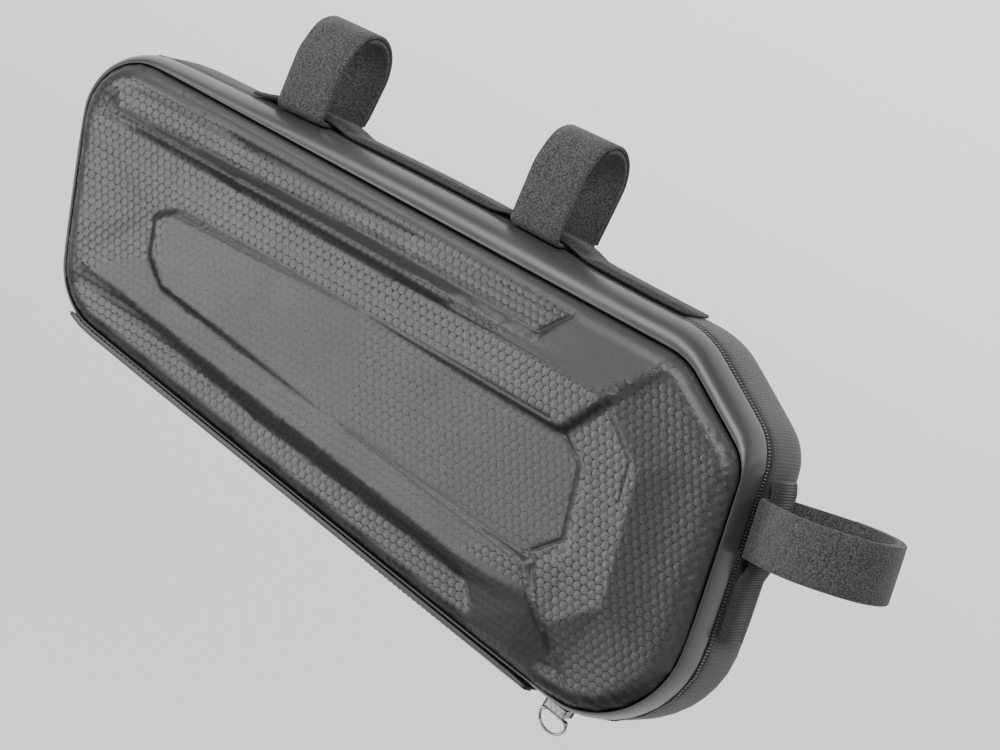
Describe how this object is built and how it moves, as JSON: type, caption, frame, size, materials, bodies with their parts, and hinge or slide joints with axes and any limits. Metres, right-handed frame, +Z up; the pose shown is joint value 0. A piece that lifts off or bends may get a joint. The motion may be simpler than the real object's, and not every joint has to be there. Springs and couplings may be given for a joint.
{
  "type": "bicycle frame bag",
  "caption": "Hard-shell bicycle frame bag: long tapered case with a faceted hexagon-patterned front and a zip round its edge, hung from top tube and seat tube by wrap-round straps",
  "frame": {"origin": "on the top tube's axis, midway between the two top straps that the bag hangs from", "axes": "+X along the bag's top edge towards the seat tube, +Y from the zipped front half to the plain back half, +Z up"},
  "size_m": [0.4146, 0.0676, 0.2183],
  "materials": {
    "shell_skin": "coated foam skin pressed with small hexagons, satin",
    "band_skin": "smooth coated skin, satin",
    "gusset_cloth": "plain coated cloth over foam, matt",
    "zip_cloth": "black zip tape with fine teeth",
    "strap_pile": "short looped pile, matt",
    "webbing_rib": "cross-ribbed webbing, matt",
    "plated_steel": "bright plated"
  },
  "bodies": {
    "bag": {"front_panel": "shell_skin", "side_band": "band_skin", "zip_tape": "zip_cloth", "back_shell": "gusset_cloth", "hinge_strip": "band_skin", "top_webbing": "webbing_rib", "rear_webbing": "webbing_rib", "top_strap_front": "strap_pile", "top_strap_rear": "strap_pile", "seat_strap": "strap_pile", "zip_slider": "plated_steel"},
    "ring": {"zip_ring": "plated_steel"}
  },
  "joints": [
    {"name": "ring_swing", "type": "hinge", "parent": "bag", "child": "ring", "pos_m": [0.15809, -0.0125, -0.18688], "axis": [0.9921, 0, -0.1257], "range_deg": [-75, 75]}
  ]
}
